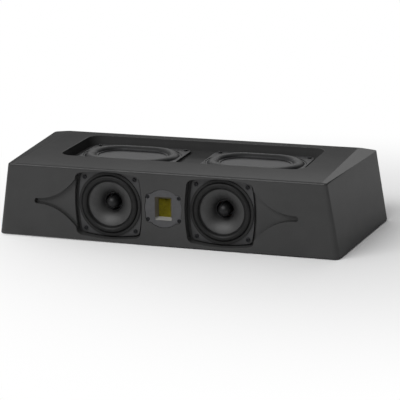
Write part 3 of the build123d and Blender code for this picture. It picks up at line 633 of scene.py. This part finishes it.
def buildRadiator(side):
    r = radiator
    centre, span = seat(f"radiator_surround_{side}")
    centre[2] -= span[2] / 2
    path = racePath(centre, r["straight"] * mm, r["bendCount"], r["runCount"])
    body = f"radiator_panel_{side}"
    middle = (r["rollOut"] + r["rollIn"]) / 2
    under = arcThrough(
        (r["rollOut"] - r["skin"], 0), (middle, r["rollHeight"]),
        (r["rollIn"] + r["skin"], 0), r["rollCount"])
    over = arcThrough(
        (r["rollIn"], r["skin"]), (middle, r["rollHeight"] + r["skin"]),
        (r["rollOut"], r["skin"]), r["rollCount"])
    rollOutline = [
        (r["lipOut"], r["skin"]), (r["lipOut"], 0), *under,
        (r["lipIn"], 0), (r["lipIn"], r["skin"]), *over,
    ]
    surround = sweptPiece(
        f"radiator_roll_{side}", rollOutline, path, rollRubber, stepMm=0.5, softMm=1.0)
    points = vertices(surround) - centre
    blendRing(surround)
    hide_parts(f"radiator_surround_{side}")

    panelCentre, panelSpan = seat(f"radiator_panel_{side}")
    panelCentre[2] -= panelSpan[2] / 2
    edge, thick = r["panelReach"], r["panelThick"]
    panelOutline = [(0, 0), (edge, 0), (edge, thick), (0, thick)]
    panelPath = racePath(panelCentre, r["straight"] * mm, r["bendCount"], r["runCount"])
    panel = sweptPiece(
        f"panel_{side}", panelOutline, panelPath, blastedAluminium,
        stepMm=0.8, softMm=0.8, closed=False)
    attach(panel, body)
    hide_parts(f"radiator_panel_{side}")


for side in sides:
    buildRadiator(side)
print("passive radiators built")

# Tweeter ribbon. Millimetres.
ribbon = {
    "pleats": 22, "depth": 1.95, "film": 0.3, "border": 2.0, "perPleat": 14, "across": 9,
    "sharpness": 0.84,
}


# Film in rounded pleats: with p the phase along the height, its depth follows
# arccos(sharpness * cos p), a wave between a cosine and a sharp fold, flat beyond the borders.
def buildRibbon():
    r = ribbon
    centre, span = seat("tweeter_ribbon")
    front = centre[1] - span[1] / 2
    halfWidth, halfHeight = span[0] / 2, span[2] / 2
    z = np.linspace(-halfHeight, halfHeight, r["pleats"] * r["perPleat"] + 1)
    x = np.linspace(-halfWidth, halfWidth, r["across"])
    folded = halfHeight - r["border"] * mm
    phase = np.clip((z + folded) / (2 * folded), 0, 1) * 2 * np.pi * r["pleats"]
    fold = np.arccos(r["sharpness"] * np.cos(phase)) / np.pi
    fold = (fold - fold.min()) / (fold.max() - fold.min())
    depth = fold * r["depth"] * mm
    zGrid, xGrid = np.meshgrid(z, x, indexing="ij")
    yGrid = front + np.repeat(depth[:, None], r["across"], 1)
    facing = np.stack([centre[0] + xGrid, yGrid, centre[2] + zGrid], -1)
    behind = facing + np.array([0, r["film"] * mm, 0])
    # the two faces, with walls round the edge, form one closed film
    sheet = np.concatenate([facing, behind[:, ::-1]], axis=1)
    quads = gridFaces(*sheet.shape[:2], False, True)
    rows, columns = sheet.shape[:2]
    k = np.arange(r["across"] - 1)
    cap = np.stack([k, k + 1, columns - 2 - k, columns - 1 - k], -1)
    quads = np.vstack([quads, cap, cap[:, ::-1] + (rows - 1) * columns])
    piece = makePiece("ribbon", sheet, quads, goldFilm)
    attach(piece, "cabinet")
    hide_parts("tweeter_ribbon")


buildRibbon()
print("ribbon folded")

# Floor: pale and plain near the speaker, fading to white further off.
floor = {
    "half": 9.0, "pale": "#fafafa", "middle": (0.2, 0.0, 0.0), "fadeStart": 0.25, "fadeEnd": 0.95,
}


def layFloor():
    half, height = floor["half"], cadBox[0].z
    corners = [(x * half, y * half, height) for x, y in ((-1, -1), (1, -1), (1, 1), (-1, 1))]
    mesh = bpy.data.meshes.new("floor")
    mesh.from_pydata(corners, [], [(0, 1, 2, 3)])
    piece = bpy.data.objects.new("floor", mesh)
    bpy.context.scene.collection.objects.link(piece)
    material = bpy.data.materials.new("paper_white_matt")
    material.use_nodes = True
    tree = material.node_tree
    tree.nodes.clear()
    spot = addNode(tree, "ShaderNodeTexCoord")
    away = addNode(
        tree, "ShaderNodeVectorMath",
        {"operation": "DISTANCE", 1: floor["middle"]}, {0: spot.outputs["Object"]})
    fade = addNode(
        tree, "ShaderNodeMapRange",
        {
            "interpolation_type": "SMOOTHSTEP",
            "From Min": floor["fadeStart"], "From Max": floor["fadeEnd"],
        },
        {"Value": away.outputs["Value"]},
    )
    ray = addNode(tree, "ShaderNodeLightPath")
    seen = addNode(
        tree, "ShaderNodeMath", {"operation": "ADD", "use_clamp": True},
        {0: ray.outputs["Is Camera Ray"], 1: ray.outputs["Is Glossy Ray"]})
    seen = addNode(
        tree, "ShaderNodeMath", {"operation": "ADD", "use_clamp": True},
        {0: seen.outputs[0], 1: ray.outputs["Is Transmission Ray"]})
    white = addNode(
        tree, "ShaderNodeMath", {"operation": "MULTIPLY"},
        {0: fade.outputs["Result"], 1: seen.outputs[0]})
    paper = addNode(tree, "ShaderNodeBsdfDiffuse", {"Color": linear(floor["pale"])})
    glow = addNode(tree, "ShaderNodeEmission", {"Strength": 1.0})
    mixed = addNode(
        tree, "ShaderNodeMixShader", None,
        {0: white.outputs[0], 1: paper.outputs["BSDF"], 2: glow.outputs["Emission"]})
    addNode(tree, "ShaderNodeOutputMaterial", None, {"Surface": mixed.outputs["Shader"]})
    mesh.materials.append(material)


layFloor()

# Light: a sky that is darker near the horizon and on the right, a large soft lamp high in front
# on the left, and a weak one behind that the facets of the top mirror.
light = {
    "skyLow": "#7c7c7c", "skyRight": "#303030", "skyHigh": "#d8d8d8",
    "bandLow": 0.25, "bandHigh": 0.272, "rightFrom": 0.0, "rightTo": 0.6,
    "lamps": (
        {"name": "softbox_left", "at": (-1.0, -2.35, 2.6), "wide": 2.8, "tall": 1.6, "power": 75.0},
        {"name": "softbox_behind", "at": (-0.6, 3.0, 1.55), "wide": 3.0, "tall": 1.2, "power": 7.6},
    ),
    "aim": (0.0, 0.0, 0.07),
}


def lightStudio():
    world = bpy.data.worlds.new("studio")
    bpy.context.scene.world = world
    world.use_nodes = True
    tree = world.node_tree
    tree.nodes.clear()
    spot = addNode(tree, "ShaderNodeTexCoord")
    toward = addNode(tree, "ShaderNodeSeparateXYZ", None, {0: spot.outputs["Generated"]})
    band = addNode(
        tree, "ShaderNodeMapRange",
        {
            "interpolation_type": "SMOOTHSTEP",
            "From Min": light["bandLow"], "From Max": light["bandHigh"],
        },
        {"Value": toward.outputs["Z"]},
    )
    right = addNode(
        tree, "ShaderNodeMapRange",
        {
            "interpolation_type": "SMOOTHSTEP",
            "From Min": light["rightFrom"], "From Max": light["rightTo"],
        },
        {"Value": toward.outputs["X"]},
    )
    high = addNode(
        tree, "ShaderNodeMix",
        {"data_type": "RGBA", 6: linear(light["skyHigh"]), 7: linear(light["skyRight"])},
        {0: right.outputs["Result"]},
    )
    sky = addNode(
        tree, "ShaderNodeMix",
        {"data_type": "RGBA", 6: linear(light["skyLow"])},
        {0: band.outputs["Result"], 7: high.outputs[2]},
    )
    back = addNode(tree, "ShaderNodeBackground", {"Strength": 1.0}, {"Color": sky.outputs[2]})
    addNode(tree, "ShaderNodeOutputWorld", None, {"Surface": back.outputs["Background"]})
    for box in light["lamps"]:
        lamp = bpy.data.lights.new(box["name"], "AREA")
        lamp.shape, lamp.size, lamp.size_y = "RECTANGLE", box["wide"], box["tall"]
        lamp.energy = box["power"]
        holder = bpy.data.objects.new(box["name"], lamp)
        aim = Vector(light["aim"]) - Vector(box["at"])
        turn = aim.to_track_quat("-Z", "Y").to_matrix().to_4x4()
        holder.matrix_world = Matrix.Translation(box["at"]) @ turn
        bpy.context.scene.collection.objects.link(holder)


lightStudio()
print("floor and light set")

# Camera: azimuth turns towards +X, roll tips the camera about its own axis, all in degrees.
# Target and distance are in metres, lens and sensor in millimetres.
camera = {
    "azimuth": 18.39, "elevation": 14.70, "roll": 0.84, "target": (0.07447, -0.1525, 0.09875),
    "distance": 3.33, "lens": 158.51, "sensor": 36.0,
}


def aimCamera():
    azimuth, elevation, roll = (np.radians(camera[k]) for k in ("azimuth", "elevation", "roll"))
    level = Vector((np.cos(azimuth), np.sin(azimuth), 0))
    back = Vector((
        np.sin(azimuth) * np.cos(elevation),
        -np.cos(azimuth) * np.cos(elevation),
        np.sin(elevation),
    ))
    upright = back.cross(level)
    right = level * np.cos(roll) - upright * np.sin(roll)
    up = level * np.sin(roll) + upright * np.cos(roll)
    place = Vector(camera["target"]) + back * camera["distance"]
    data = bpy.data.cameras.new("camera")
    data.lens, data.sensor_width = camera["lens"], camera["sensor"]
    holder = bpy.data.objects.new("camera", data)
    turn = Matrix((right, up, back)).transposed().to_4x4()
    holder.matrix_world = Matrix.Translation(place) @ turn
    bpy.context.scene.collection.objects.link(holder)
    bpy.context.scene.camera = holder


aimCamera()
bpy.context.scene.view_settings.view_transform = "Standard"
print("camera set")
